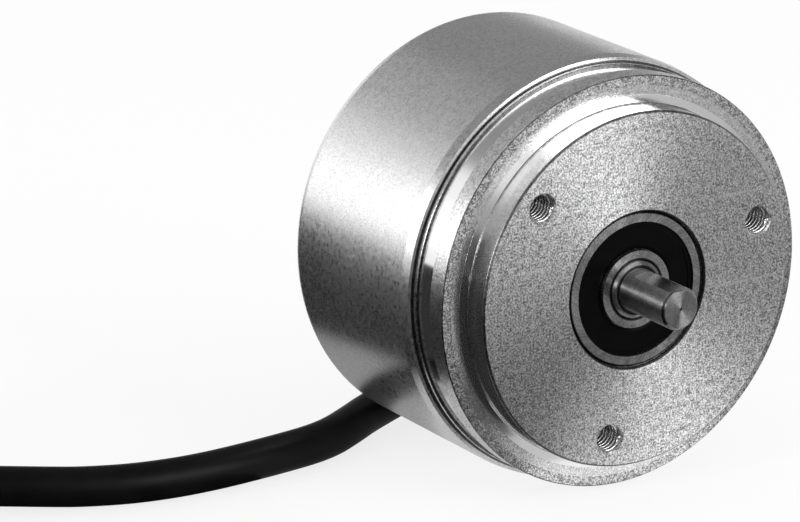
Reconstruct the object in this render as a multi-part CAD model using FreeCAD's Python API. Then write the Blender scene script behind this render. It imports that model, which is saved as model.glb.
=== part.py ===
# Incremental rotary encoder: 58 mm servo flange, 6 mm solid shaft, drawn cover and a moulded cable outlet.
# Millimetres. The origin is the centre of the pilot's front face, the shaft points along -Y and +Z is up.
import FreeCAD
import Part
import math
import os
from FreeCAD import Vector

# Flange
pilot_d = 50.0
pilot_length = 4.0
pilot_chamfer = 0.3
pilot_corner = 0.2
rim_step = 1.0
rim_width = 3.0
rim_chamfer = 0.15
groove_depth = 0.25
groove_width = 3.4
collar_step = 0.9
collar_width = 0.6
collar_chamfer = 0.1
plate_thickness = 12.0
spigot_length = 4.5
hub_lip = 1.0
bore_chamfer = 0.25
face_hole_d = 4.0
face_hole_depth = 9.0
face_hole_chamfer = 0.2
face_hole_circle = 42.0
face_hole_count = 3
face_hole_angle = 18.3

# Cover
body_length = 41.2
cover_d = 60.0
cover_wall = 1.5
cover_corner = 2.2
cover_lip = 1.7
cover_lip_step = 0.2
shadow_gap = 0.2
seal_width = 2.0
seal_depth = 1.2

# Fits
fit = 0.05
running_gap = 0.08
screw_clearance = 0.2

# Ball bearings
bearing_bore = 8.0
bearing_od = 22.0
bearing_width = 7.0
bearing_chamfer = 0.4
bearing_bore_chamfer = 0.2
bearing_recess = 0.4
ball_share = 0.567
ball_circle = 15.0
ball_count = 7
race_gap = 0.05
land_depth = 1.4
seal_inset = 0.3
seal_thickness = 0.7
seal_dish = 0.15
seal_lip = 0.3
seal_slope = 0.5
seal_bead = 0.7
inner_land_d = 10.9
cage_thickness = 1.2
cage_web = 0.2
seat_shoulder = 2.2
shoulder_bore = 18.6
spring_height = 1.2
spring_plate = 0.4
spring_bore = 19.2
spring_od = 21.0

# Shaft and code disc
shaft_d = 6.0
shaft_length = 10.0
shaft_chamfer = 0.4
flat_depth = 0.5
flat_length = 8.4
centre_mark_d = 0.4
seat_chamfer = 0.3
stop_d = 10.5
stop_width = 1.8
tail_length = 6.8
hub_sleeve_d = 11.0
hub_sleeve_length = 6.4
hub_flange_d = 18.0
hub_flange_y = 3.0
hub_flange_width = 1.2
set_screw_d = 2.0
set_screw_length = 2.2
disc_gap = 1.0
disc_thickness = 0.8
clamp_ring_width = 1.0
slot_count = 48
slot_length = 3.0
slot_edge = 1.3
slot_share = 0.5
index_gap = 0.5
index_length = 1.6

# Optics
led_d = 3.0
led_body_length = 3.0
led_dome = 0.9
led_rim = 0.3
led_rim_width = 0.6
led_lead_d = 0.5
led_lead_pitch = 2.54
led_lead_rise = 1.2
holder_width = 9.0
holder_share = 0.16
holder_clearance = 0.2
holder_gap = 0.8
holder_ear = 4.0
holder_ear_thickness = 2.0
holder_shift = -1.5
ear_screw_d = 2.0
ear_screw_depth = 5.0
ear_screw_head_d = 3.8
ear_screw_head = 1.2
frame_gap = 0.9
frame_lip = 0.6
frame_wall = 0.8
frame_window = 3.2
reticle_width = 6.0
reticle_height = 4.0
reticle_thickness = 0.5
chip_height = 1.0
chip_gap = 0.1

# Boards and pillars
board_thickness = 1.6
board_gap = 2.0
spacing_share = 0.455
pillar_share = 1 / 12
pillar_circle_share = 0.75
pillar_gap = 0.45
pillar_angle = 78.3
stud_d = 3.0
stud_share = 0.6
stud_flange_grip = 4.5
bore_spare = 0.3
bore_floor = 0.5
screw_head_d = 5.5
screw_head = 1.65
screw_hex = 2.0
screw_hex_depth = 1.0
header_length = 12.0
header_width = 2.5
header_x = -12.0
header_z = 7.2
driver_length = 10.0
driver_width = 4.0
driver_height = 1.6
driver_legs = 8
driver_leg = 0.42
driver_leg_reach = 1.0
driver_x = -3.0
driver_z = 2.0
capacitor_d = 5.0
capacitor_gap = 0.4
capacitor_x = 12.0
capacitor_z = 9.0

# Cable outlet and cable
outlet_x = 5.0
outlet_rise = 9.5
outlet_d = 13.0
outlet_height = 7.4
outlet_edge = 1.2
outlet_mouth = 8.0
outlet_spigot_d = 8.4
spigot_gap = 0.8
outlet_nut_d = 13.0
nut_share = 0.6
outlet_ring_wall = 1.0
outlet_ring_depth = 0.8
notch_width = 14.6
notch_rise = 9.0
core_count = 5
core_d = 0.9
core_pitch = 1.5
core_bend = 1.5
connector_width = 10.0
connector_share = 0.8
connector_height = 3.8
cable_d = 5.6
cable_length = 1000.0
# Route points: x, distance behind the cover's rear wall, height above the table
cable_route = [
    (-7.0, 3.8, 4.20),
    (-12.4, 3.2, 3.60),
    (-18.2, 1.6, 3.10),
    (-24.8, -1.6, 2.90),
    (-32.0, -5.2, 2.85),
    (-40.6, -7.2, 2.85),
    (-50.1, -7.4, 2.85),
    (-59.5, -5.8, 2.85),
    (-68.4, -2.4, 2.95),
    (-77.2, 2.5, 3.30),
    (-86.0, 8.2, 3.30),
]
arc_share = 0.45
lead_in = 20.5
coil_d = 64.4
coil_turns = 4
coil_end_angle = 147.0
coil_pitch = 5.8
coil_edge = 1.6
coil_skin = 0.1
tie_thickness = 0.35
tie_width = 5.0
tie_play = 0.3
tie_angle = 80.0
lead_wire_d = 1.1
lead_wire_length = 22.0
lead_wire_ring = 2.7

# Stations along the axis
cover_r = cover_d / 2
cover_bore_r = cover_r - cover_wall
pilot_r = pilot_d / 2
rim_r = cover_r - rim_step
groove_r = rim_r - groove_depth
collar_r = cover_r - collar_step
groove_y = pilot_length + rim_width
collar_y = groove_y + groove_width
collar_end = collar_y + collar_width
cover_front = collar_end + shadow_gap
spigot_end = collar_end + spigot_length
cover_inner_rear = body_length - cover_wall
ball_d = bearing_width * ball_share
seal_seat_d = ball_circle + ball_d
front_bearing_y = bearing_recess
front_bearing_end = front_bearing_y + bearing_width
spring_y = front_bearing_end + seat_shoulder
rear_bearing_y = spring_y + spring_height
rear_bearing_end = rear_bearing_y + bearing_width
hub_end = rear_bearing_end + hub_lip
stop_end = rear_bearing_end + stop_width
disc_front = stop_end + hub_flange_y + hub_flange_width
disc_rear = disc_front + disc_thickness
frame_front = disc_rear + frame_gap
reticle_y = frame_front + frame_lip
chip_y = reticle_y + reticle_thickness + chip_gap
sensor_board_y = chip_y + chip_height
sensor_board_rear = sensor_board_y + board_thickness
spare_room = cover_inner_rear - sensor_board_rear - board_thickness
board_spacing = spare_room * spacing_share
main_board_y = sensor_board_rear + board_spacing
main_board_rear = main_board_y + board_thickness
rear_room = cover_inner_rear - main_board_rear
stud_grip = board_spacing * stud_share
cover_screw_grip = rear_room - bore_spare - bore_floor
connector_depth = board_spacing * connector_share
outlet_spigot = rear_room - spigot_gap

# Circles about the axis, and heights
pillar_d = cover_d * pillar_share
pillar_circle = cover_d * pillar_circle_share
spigot_bore_r = (pillar_circle + pillar_d) / 2 + pillar_gap
board_d = 2 * (cover_bore_r - board_gap)
disc_d = pillar_circle - pillar_d - 2 * disc_gap
slot_circle = disc_d - slot_length - 2 * slot_edge
index_circle = slot_circle - slot_length - index_length - 2 * index_gap
optic_z = slot_circle / 2
holder_height = slot_circle * holder_share
table_z = -cover_r
outlet_z = table_z + outlet_rise
notch_top = outlet_z + notch_rise
coil_height = coil_pitch * coil_turns
axis_y = Vector(0, 1, 0)
centre = Vector(0, 0, 0)


# A solid turned about the axis from its half section, a list of (radius, y)
def turned(section, angle=360):
    points = [Vector(r, y, 0) for r, y in section]
    return Part.Face(Part.makePolygon(points + points[:1])).revolve(centre, axis_y, angle)


def rod(d, y0, y1, x=0.0, z=0.0):
    return Part.makeCylinder(d / 2, y1 - y0, Vector(x, y0, z), axis_y)


def block(x0, x1, y0, y1, z0, z1):
    return Part.makeBox(x1 - x0, y1 - y0, z1 - z0, Vector(x0, y0, z0))


def tube_ring(inner_d, outer_d, y0, y1):
    return turned([(inner_d / 2, y0), (outer_d / 2, y0), (outer_d / 2, y1), (inner_d / 2, y1)])


# Places spread evenly on a circle about the axis, as (x, z)
def places(circle_d, count, first_angle):
    angles = [math.radians(first_angle + 360 * k / count) for k in range(count)]
    return [(circle_d / 2 * math.cos(a), circle_d / 2 * math.sin(a)) for a in angles]


# Copies of one solid turned about the axis, so that a radial piece repeats
def repeated(shape, count):
    copies = []
    for k in range(count):
        copy = shape.copy()
        copy.rotate(centre, axis_y, 360 * k / count)
        copies.append(copy)
    return copies


def save(name, *solids):
    shape = solids[0] if len(solids) == 1 else Part.makeCompound(solids)
    shape.exportStep("parts/" + name + ".step")


pillar_places = places(pillar_circle, 3, pillar_angle)
ear_places = [(holder_shift + side * (holder_width + holder_ear) / 2, optic_z) for side in (-1, 1)]


# Flange: pilot, clamp rim, groove, collar, cover spigot with its seal groove, and the bearing hub
def flange():
    seat_r = bearing_od / 2 + fit
    hub_r = optic_z - holder_height / 2 - holder_clearance
    spigot_r = cover_bore_r - fit
    seal_y = collar_end + (spigot_length - seal_width) / 2
    body = turned([
        (seat_r, bore_chamfer),
        (seat_r + bore_chamfer, 0),
        (pilot_r - pilot_chamfer, 0),
        (pilot_r, pilot_chamfer),
        (pilot_r, pilot_length - pilot_corner),
        (pilot_r + pilot_corner, pilot_length),
        (rim_r - rim_chamfer, pilot_length),
        (rim_r, pilot_length + rim_chamfer),
        (rim_r, groove_y),
        (groove_r, groove_y),
        (groove_r, collar_y),
        (collar_r - collar_chamfer, collar_y),
        (collar_r, collar_y + collar_chamfer),
        (collar_r, collar_end),
        (spigot_r, collar_end),
        (spigot_r, seal_y),
        (spigot_r - seal_depth, seal_y),
        (spigot_r - seal_depth, seal_y + seal_width),
        (spigot_r, seal_y + seal_width),
        (spigot_r, spigot_end),
        (spigot_bore_r, spigot_end),
        (spigot_bore_r, plate_thickness),
        (hub_r, plate_thickness),
        (hub_r, hub_end),
        (seat_r, hub_end),
        (seat_r, spring_y),
        (shoulder_bore / 2, spring_y),
        (shoulder_bore / 2, front_bearing_end),
        (seat_r, front_bearing_end),
    ])
    cuts = []
    for x, z in places(face_hole_circle, face_hole_count, face_hole_angle):
        cuts.append(rod(face_hole_d, 0, face_hole_depth, x, z))
        wide_r = face_hole_d / 2 + face_hole_chamfer
        cuts.append(Part.makeCone(wide_r, face_hole_d / 2, face_hole_chamfer, Vector(x, 0, z), axis_y))
    stud_bottom = plate_thickness - stud_flange_grip - bore_spare
    for x, z in pillar_places:
        cuts.append(rod(stud_d + 2 * fit, stud_bottom, plate_thickness, x, z))
    screw_bottom = plate_thickness - ear_screw_depth - bore_spare
    for x, z in ear_places:
        cuts.append(rod(ear_screw_d + 2 * fit, screw_bottom, plate_thickness, x, z))
    return body.cut(cuts)


# Drawn cover: a cup with a slightly stepped lip, a round rear corner and holes for its screws and the outlet
def cover():
    lip_r = cover_r - cover_lip_step
    cup = turned([
        (cover_bore_r, cover_front),
        (lip_r, cover_front),
        (cover_r, cover_front + cover_lip),
        (cover_r, body_length),
        (0, body_length),
        (0, cover_inner_rear),
        (cover_bore_r, cover_inner_rear),
    ])
    corner = [e for e in cup.Edges if e.BoundBox.YMin > body_length - fit and e.BoundBox.XMax > cover_r - fit]
    cup = cup.makeFillet(cover_corner, corner)
    cuts = [rod(stud_d + screw_clearance, cover_inner_rear, body_length, x, z) for x, z in pillar_places]
    cuts.append(rod(outlet_spigot_d + 2 * fit, cover_inner_rear, body_length, outlet_x, outlet_z))
    return cup.cut(cuts)


def cover_seal():
    spigot_r = cover_bore_r - fit
    seal_y = collar_end + (spigot_length - seal_width) / 2
    return tube_ring(2 * (spigot_r - seal_depth + fit), 2 * spigot_r, seal_y, seal_y + seal_width - fit)


# Button-head screws through the cover's rear wall into the rear pillars
def cover_screws():
    screws = []
    for x, z in pillar_places:
        head = rod(screw_head_d, body_length, body_length + screw_head, x, z)
        shank = rod(stud_d, cover_inner_rear - cover_screw_grip, body_length, x, z)
        hexagon = [Vector(x + px, 0, z + pz) for px, pz in places(screw_hex / math.cos(math.pi / 6), 6, 0)]
        socket = Part.Face(Part.makePolygon(hexagon + hexagon[:1])).extrude(axis_y * screw_hex_depth)
        socket.translate(axis_y * (body_length + screw_head - screw_hex_depth))
        screws.append(head.fuse(shank).removeSplitter().cut(socket))
    return screws


# Bearing rings: turned blanks with the ball track cut by a torus a little larger than the balls
def ball_track(y0):
    middle = Vector(0, y0 + bearing_width / 2, 0)
    return Part.makeTorus(ball_circle / 2, ball_d / 2 + race_gap, middle, axis_y)


def outer_ring(y0):
    y1 = y0 + bearing_width
    outer_r = bearing_od / 2
    land_r = ball_circle / 2 + land_depth
    seat_r = seal_seat_d / 2
    step = seal_inset + seal_thickness
    blank = turned([
        (land_r, y0 + step),
        (seat_r, y0 + step),
        (seat_r, y0),
        (outer_r - bearing_chamfer, y0),
        (outer_r, y0 + bearing_chamfer),
        (outer_r, y1 - bearing_chamfer),
        (outer_r - bearing_chamfer, y1),
        (seat_r, y1),
        (seat_r, y1 - step),
        (land_r, y1 - step),
    ])
    return blank.cut(ball_track(y0))


def inner_ring(y0):
    y1 = y0 + bearing_width
    bore_r = bearing_bore / 2 + fit
    face_r = inner_land_d / 2
    land_r = ball_circle / 2 - land_depth
    step = seal_inset + seal_thickness + running_gap
    blank = turned([
        (bore_r, y0 + bearing_bore_chamfer),
        (bore_r + bearing_bore_chamfer, y0),
        (face_r, y0),
        (face_r, y0 + step),
        (land_r, y0 + step),
        (land_r, y1 - step),
        (face_r, y1 - step),
        (face_r, y1),
        (bore_r + bearing_bore_chamfer, y1),
        (bore_r, y1 - bearing_bore_chamfer),
    ])
    return blank.cut(ball_track(y0))


def balls(y0):
    first = Vector(ball_circle / 2, y0 + bearing_width / 2, 0)
    return repeated(Part.makeSphere(ball_d / 2, first), ball_count)


# Crown cage: a ring behind the ball centres, with a round pocket for each ball
def cage(y0):
    middle = y0 + bearing_width / 2
    rear = middle + ball_d / 2 + race_gap + cage_web
    ring = tube_ring(ball_circle - cage_thickness, ball_circle + cage_thickness, middle, rear)
    start = Vector(ball_circle / 2 - cage_thickness, middle, 0)
    pocket = Part.makeCylinder(ball_d / 2 + race_gap, 2 * cage_thickness, start, Vector(1, 0, 0))
    return ring.cut(repeated(pocket, ball_count))


# Seal: a dished disc with a bead in the outer ring's seat and a thin lip at the inner ring
def bearing_seal(face_y, inwards):
    inner_r = inner_land_d / 2 + running_gap
    outer_r = seal_seat_d / 2 - fit
    outside = face_y + inwards * seal_inset
    inside = outside + inwards * seal_thickness
    dish = outside + inwards * seal_dish
    return turned([
        (inner_r, inside),
        (inner_r, inside - inwards * seal_lip),
        (inner_r + seal_slope, dish),
        (outer_r - seal_bead, dish),
        (outer_r - seal_bead + seal_dish, outside),
        (outer_r, outside),
        (outer_r, inside),
    ])


def save_bearing(name, y0):
    save(name + "_bearing_outer_ring", outer_ring(y0))
    save(name + "_bearing_inner_ring", inner_ring(y0))
    save(name + "_bearing_balls", *balls(y0))
    save(name + "_bearing_cage", cage(y0))
    save(name + "_bearing_front_seal", bearing_seal(y0, 1))
    save(name + "_bearing_rear_seal", bearing_seal(y0 + bearing_width, -1))


# Disc spring that preloads the bearings, and the spacer between their inner rings
def preload_spring():
    inner_r = spring_bore / 2
    outer_r = spring_od / 2
    rise = spring_height - spring_plate
    return turned([
        (inner_r, spring_y),
        (outer_r, spring_y + rise),
        (outer_r, spring_y + spring_height),
        (inner_r, spring_y + spring_plate),
    ])


def bearing_spacer():
    outer_d = inner_land_d - 2 * running_gap
    return tube_ring(bearing_bore + 2 * fit, outer_d, front_bearing_end, rear_bearing_y)


# Shaft: front end with a flat, bearing seat, stop collar and the tail that carries the disc hub
def shaft():
    r = shaft_d / 2
    seat_r = bearing_bore / 2
    tail_end = stop_end + tail_length
    body = turned([
        (0, -shaft_length),
        (r - shaft_chamfer, -shaft_length),
        (r, shaft_chamfer - shaft_length),
        (r, 0),
        (seat_r - seat_chamfer, 0),
        (seat_r, seat_chamfer),
        (seat_r, rear_bearing_end),
        (stop_d / 2, rear_bearing_end),
        (stop_d / 2, stop_end),
        (r, stop_end),
        (r, tail_end - shaft_chamfer),
        (r - shaft_chamfer, tail_end),
        (0, tail_end),
    ])
    flat = block(-r, r, -shaft_length, flat_length - shaft_length, r - flat_depth, r)
    mark = Part.makeCone(centre_mark_d / 2, 0, centre_mark_d / 2, Vector(0, -shaft_length, 0), axis_y)
    return body.cut([flat, mark])


def disc_hub():
    bore_r = shaft_d / 2 + fit
    sleeve_r = hub_sleeve_d / 2
    flange_y = stop_end + hub_flange_y
    hub = turned([
        (bore_r, stop_end),
        (sleeve_r, stop_end),
        (sleeve_r, flange_y),
        (hub_flange_d / 2, flange_y),
        (hub_flange_d / 2, disc_front),
        (sleeve_r, disc_front),
        (sleeve_r, stop_end + hub_sleeve_length),
        (bore_r, stop_end + hub_sleeve_length),
    ])
    return hub.cut(Part.makeCylinder(set_screw_d / 2 + fit, hub_sleeve_d, screw_spot(0), Vector(1, 0, 0)))


# A point on the set screw's axis, at a distance from the shaft's axis
def screw_spot(x):
    return Vector(x, stop_end + hub_flange_y / 2, 0)


def hub_set_screw():
    return Part.makeCylinder(set_screw_d / 2, set_screw_length, screw_spot(shaft_d / 2), Vector(1, 0, 0))


# Code disc: a ring of slots for the two quadrature tracks and one index slot further in
def code_disc():
    disc = tube_ring(hub_sleeve_d + 2 * fit, disc_d, disc_front, disc_rear)
    slot_width = slot_share * math.pi * slot_circle / slot_count
    slot_r = (slot_circle - slot_length) / 2
    index_r = (index_circle - index_length) / 2
    half = slot_width / 2
    slot = block(-half, half, disc_front, disc_rear, slot_r, slot_r + slot_length)
    index = block(-half, half, disc_front, disc_rear, index_r, index_r + index_length)
    return disc.cut(repeated(slot, slot_count) + [index])


def disc_clamp_ring():
    return tube_ring(hub_sleeve_d + 2 * fit, hub_flange_d, disc_rear, disc_rear + clamp_ring_width)


# Light source: a block with two ears on the flange, the diode in its bore and two leads to the sensor board
def led_holder():
    rear = disc_front - holder_gap
    x0 = holder_shift - holder_width / 2
    x1 = holder_shift + holder_width / 2
    z0 = optic_z - holder_height / 2
    z1 = optic_z + holder_height / 2
    ear_top = plate_thickness + holder_ear_thickness
    body = block(x0, x1, plate_thickness, rear, z0, z1)
    ears = block(x0 - holder_ear, x1 + holder_ear, plate_thickness, ear_top, z0, z1)
    top = rear - led_dome - led_body_length
    cuts = [rod(led_d + 2 * fit, top, rear, 0, optic_z)]
    cuts.append(rod(led_d + 2 * led_rim + 2 * fit, plate_thickness, top, 0, optic_z))
    for x, z in ear_places:
        cuts.append(rod(ear_screw_d + 2 * fit, plate_thickness, ear_top, x, z))
    return body.fuse(ears).removeSplitter().cut(cuts)


def led():
    dome_y = disc_front - holder_gap - led_dome
    body_y = dome_y - led_body_length
    r = led_d / 2
    diode = turned([
        (0, body_y - led_rim_width),
        (r + led_rim, body_y - led_rim_width),
        (r + led_rim, body_y),
        (r, body_y),
        (r, dome_y),
        (r / 2, dome_y + led_dome),
        (0, dome_y + led_dome),
    ])
    diode.translate(Vector(0, 0, optic_z))
    return diode


def led_leads():
    start_z = optic_z + holder_height / 2
    start_y = plate_thickness + holder_ear_thickness
    run_z = start_z + led_lead_rise
    leads = []
    for x in (holder_shift, holder_shift - led_lead_pitch):
        path = [Vector(x, start_y, start_z), Vector(x, start_y, run_z), Vector(x, sensor_board_y, run_z)]
        leads.append(bent_wire(path, led_lead_d))
    return leads


def led_holder_screws():
    screws = []
    top = plate_thickness + holder_ear_thickness
    for x, z in ear_places:
        head = rod(ear_screw_head_d, top, top + ear_screw_head, x, z)
        shank = rod(ear_screw_d, plate_thickness - ear_screw_depth, top, x, z)
        screws.append(head.fuse(shank).removeSplitter())
    return screws


# A wire along straight runs with mitred corners
def bent_wire(path, d):
    first = (path[1] - path[0]).normalize()
    section = Part.Wire(Part.makeCircle(d / 2, path[0], first))
    return Part.makePolygon(path).makePipeShell([section], True, False, 1)


# Receiver: a frame on the sensor board holds the reticle in front of the sensor chip
def reticle_frame():
    half_w = reticle_width / 2 + fit
    half_h = reticle_height / 2 + fit
    half_win = frame_window / 2
    body = block(-half_w - frame_wall, half_w + frame_wall, frame_front, sensor_board_y,
                 optic_z - half_h - frame_wall, optic_z + half_h + frame_wall)
    pocket = block(-half_w, half_w, reticle_y, sensor_board_y, optic_z - half_h, optic_z + half_h)
    window = block(-half_win, half_win, frame_front, reticle_y, optic_z - half_win, optic_z + half_win)
    return body.cut([pocket, window])


def receiver_plate(y0, thickness):
    half_w = reticle_width / 2
    half_h = reticle_height / 2
    return block(-half_w, half_w, y0, y0 + thickness, optic_z - half_h, optic_z + half_h)


# Round circuit board with holes for the pillar studs and a notch that lets the cable cores pass
def board(y0):
    plate = rod(board_d, y0, y0 + board_thickness)
    cuts = [rod(stud_d + 2 * fit, y0, y0 + board_thickness, x, z) for x, z in pillar_places]
    half = notch_width / 2
    cuts.append(block(outlet_x - half, outlet_x + half, y0, y0 + board_thickness, -board_d, notch_top))
    return plate.cut(cuts)


# Round pillars with a stud at the front and a tapped bore at the rear
def pillars(y0, y1, stud, bore):
    solids = []
    for x, z in pillar_places:
        body = rod(pillar_d, y0, y1, x, z).fuse(rod(stud_d, y0 - stud, y0, x, z)).removeSplitter()
        solids.append(body.cut(rod(stud_d + 2 * fit, y1 - bore - bore_spare, y1, x, z)))
    return solids


def line_driver():
    y0 = main_board_rear
    half_l = driver_length / 2
    half_w = driver_width / 2
    body = block(driver_x - half_l, driver_x + half_l, y0, y0 + driver_height,
                 driver_z - half_w, driver_z + half_w)
    pitch = driver_length / driver_legs
    legs = []
    for k in range(driver_legs):
        x = driver_x - half_l + pitch * (k + 0.5) - driver_leg / 2
        reach = half_w + driver_leg_reach
        legs.append(block(x, x + driver_leg, y0, y0 + driver_leg, driver_z - reach, driver_z + reach))
    return body.fuse(legs).removeSplitter()


def board_header():
    x0 = header_x - header_length / 2
    z0 = header_z - header_width / 2
    return block(x0, x0 + header_length, sensor_board_rear, main_board_y, z0, z0 + header_width)


def capacitor():
    return rod(capacitor_d, main_board_rear, cover_inner_rear - capacitor_gap, capacitor_x, capacitor_z)


def cable_connector():
    half = connector_width / 2
    return block(outlet_x - half, outlet_x + half, main_board_y - connector_depth, main_board_y,
                 notch_top, notch_top + connector_height)


# Cable cores from the outlet's spigot, through the board notch and up into the connector
def cable_cores():
    start_y = cover_inner_rear - outlet_spigot
    run_y = main_board_y - connector_depth / 2
    cores = []
    for k in range(core_count):
        x = outlet_x + core_pitch * (k - (core_count - 1) / 2)
        path = [
            Vector(x, start_y, outlet_z),
            Vector(x, run_y + core_bend, outlet_z),
            Vector(x, run_y, outlet_z + core_bend),
            Vector(x, run_y, notch_top),
        ]
        cores.append(bent_wire(path, core_d))
    return cores


# Where a line from a point touches a circle, on the side given by +1 or -1
def tangent_point(point, middle, radius, side):
    away = point - middle
    angle = math.acos(radius / away.Length)
    spin = FreeCAD.Rotation(axis_y, math.degrees(side * angle))
    return middle + spin.multVec(away).normalize() * radius


# Moulded outlet: a drop-shaped block that turns the cable along the rear wall, on a spigot through that wall
def cable_outlet():
    mouth = route_points()[0]
    out = exit_direction()
    across = Vector(out.z, 0, -out.x).normalize() * (outlet_mouth / 2)
    middle = Vector(outlet_x, body_length, outlet_z)
    mouth.y = body_length
    low = mouth - across
    high = mouth + across
    low_touch = tangent_point(low, middle, outlet_d / 2, -1)
    high_touch = tangent_point(high, middle, outlet_d / 2, 1)
    far = middle - Vector(out.x, 0, out.z).normalize() * (outlet_d / 2)
    outline = Part.Wire([
        Part.makeLine(high, low),
        Part.makeLine(low, low_touch),
        Part.Arc(low_touch, far, high_touch).toShape(),
        Part.makeLine(high_touch, high),
    ])
    drop = Part.Face(outline).extrude(axis_y * outlet_height)
    top = [e for e in drop.Edges if e.BoundBox.YMin > body_length + outlet_height - fit]
    drop = drop.makeChamfer(outlet_edge, top)
    spigot = rod(outlet_spigot_d, cover_inner_rear - outlet_spigot, body_length, outlet_x, outlet_z)
    ring_d = outlet_spigot_d + 2 * outlet_ring_wall
    recess = rod(ring_d + 2 * fit, body_length, body_length + outlet_ring_depth, outlet_x, outlet_z)
    spigot_top = rod(outlet_spigot_d, body_length, body_length + outlet_ring_depth, outlet_x, outlet_z)
    square_end = block(0, outlet_mouth, -outlet_d, outlet_d, -outlet_d, outlet_d)
    square_end.Placement = FreeCAD.Placement(route_points()[0], FreeCAD.Rotation(Vector(1, 0, 0), out))
    return drop.cut([recess, square_end]).fuse([spigot, spigot_top]).removeSplitter()


def outlet_seal_ring():
    outer_d = outlet_spigot_d + 2 * outlet_ring_wall
    ring = tube_ring(outlet_spigot_d + 2 * fit, outer_d, body_length, body_length + outlet_ring_depth)
    ring.translate(Vector(outlet_x, 0, outlet_z))
    return ring


def outlet_nut():
    front = cover_inner_rear - outlet_spigot * nut_share
    ring = tube_ring(outlet_spigot_d + 2 * fit, outlet_nut_d, front, cover_inner_rear)
    ring.translate(Vector(outlet_x, 0, outlet_z))
    return ring


def route_points():
    return [Vector(x, body_length + behind, table_z + height) for x, behind, height in cable_route]


def exit_direction():
    points = route_points()
    return (points[1] - points[0]).normalize()


# Cable centre line: straight runs joined by arcs as large as the runs allow
def cable_path():
    points = route_points()
    edges = []
    radii = []
    start = points[0]
    for before, point, after in zip(points, points[1:], points[2:]):
        back = before - point
        ahead = after - point
        trim = arc_share * min(back.Length, ahead.Length)
        half_turn = (math.pi - back.getAngle(ahead)) / 2
        radii.append(trim / math.tan(half_turn))
        back.normalize()
        ahead.normalize()
        to_middle = radii[-1] * (1 / math.cos(half_turn) - 1)
        middle = point + (back + ahead).normalize() * to_middle
        edges.append(Part.LineSegment(start, point + back * trim).toShape())
        edges.append(Part.Arc(point + back * trim, middle, point + ahead * trim).toShape())
        start = point + ahead * trim
    edges.append(Part.LineSegment(start, points[-1]).toShape())
    return Part.Wire(edges), radii


def cable():
    path, radii = cable_path()
    section = Part.Wire(Part.makeCircle(cable_d / 2, route_points()[0], exit_direction()))
    tube = path.makePipeShell([section], True, True, 0)
    expected = math.pi * cable_d ** 2 / 4 * path.Length
    print("cable arc radii", [round(r, 1) for r in radii], "tube length", round(path.Length, 1))
    print("cable tube volume / section times length", round(tube.Volume / expected, 5))
    return tube


# The rest of the cable is wound in a neat coil. Its frame: the cable's end, the way ahead, the way to the
# coil's middle and that middle, level with the coil's underside
def coil_frame():
    before, end = route_points()[-2:]
    ahead = end - before
    ahead.z = 0
    ahead.normalize()
    inward = Vector(-ahead.y, ahead.x, 0)
    middle = end + ahead * lead_in + inward * (coil_d / 2)
    middle.z = end.z - cable_d / 2 - coil_skin
    return end, ahead, inward, middle


# A place on the coil's turns and the way along them, by the angle from where the lead-in touches
def coil_spot(angle, height):
    end, ahead, inward, middle = coil_frame()
    a = math.radians(angle)
    place = middle + (ahead * math.sin(a) - inward * math.cos(a)) * (coil_d / 2)
    return place + Vector(0, 0, height), ahead * math.cos(a) + inward * math.sin(a)


# What is left of the cable's length after the route, the lead-in and the turns
def coil_tail_length():
    turns = coil_turns + coil_end_angle / 360
    return cable_length - cable_path()[0].Length - lead_in - turns * math.pi * coil_d


# A stack of turns with eased edges, from one height to another, in the coil's place
def coil_stack(bottom, top, angle):
    inner_r = (coil_d - coil_pitch) / 2
    outer_r = (coil_d + coil_pitch) / 2
    stack = turned([
        (inner_r + coil_edge, bottom),
        (outer_r - coil_edge, bottom),
        (outer_r, bottom + coil_edge),
        (outer_r, top - coil_edge),
        (outer_r - coil_edge, top),
        (inner_r + coil_edge, top),
        (inner_r, top - coil_edge),
        (inner_r, bottom + coil_edge),
    ], angle)
    end, ahead, inward, middle = coil_frame()
    stack.rotate(centre, Vector(1, 0, 0), 90)
    stack.rotate(centre, Vector(0, 0, 1), math.degrees(math.atan2(-inward.y, -inward.x)))
    stack.translate(middle)
    return stack


# Outer shape of the coil: whole turns, a part turn on top, the straight lead-in and the tail
def cable_coil():
    end, ahead, inward, middle = coil_frame()
    tail_start, tail_way = coil_spot(coil_end_angle, coil_height + coil_pitch / 2)
    pieces = [
        coil_stack(0, coil_height + coil_pitch, coil_end_angle),
        Part.makeCylinder(cable_d / 2, lead_in, end, ahead),
        Part.makeCylinder(cable_d / 2, coil_tail_length(), tail_start, tail_way),
    ]
    return coil_stack(0, coil_height, 360).fuse(pieces).removeSplitter()


def coil_tie():
    half = coil_pitch / 2 + tie_play
    wide = half + tie_thickness
    top = coil_height + coil_pitch
    half_width = tie_width / 2
    band = block(-wide, wide, -half_width, half_width, -tie_thickness, top + tie_thickness)
    band = band.cut(block(-half, half, -half_width, half_width, 0, top))
    place, way = coil_spot(tie_angle, 0)
    band.rotate(centre, Vector(0, 0, 1), math.degrees(math.atan2(-way.x, way.y)))
    band.translate(place)
    return band


# Bare cores at the free end of the cable
def cable_leads():
    tail_start, way = coil_spot(coil_end_angle, coil_height + coil_pitch / 2)
    start = tail_start + way * coil_tail_length()
    up = Vector(0, 0, 1)
    aside = way.cross(up)
    spots = [Vector(0, 0, 0)]
    for k in range(core_count - 1):
        angle = 2 * math.pi * k / (core_count - 1)
        spots.append((aside * math.cos(angle) + up * math.sin(angle)) * (lead_wire_ring / 2))
    return [Part.makeCylinder(lead_wire_d / 2, lead_wire_length, start + spot, way) for spot in spots]


os.makedirs("parts", exist_ok=True)

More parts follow.
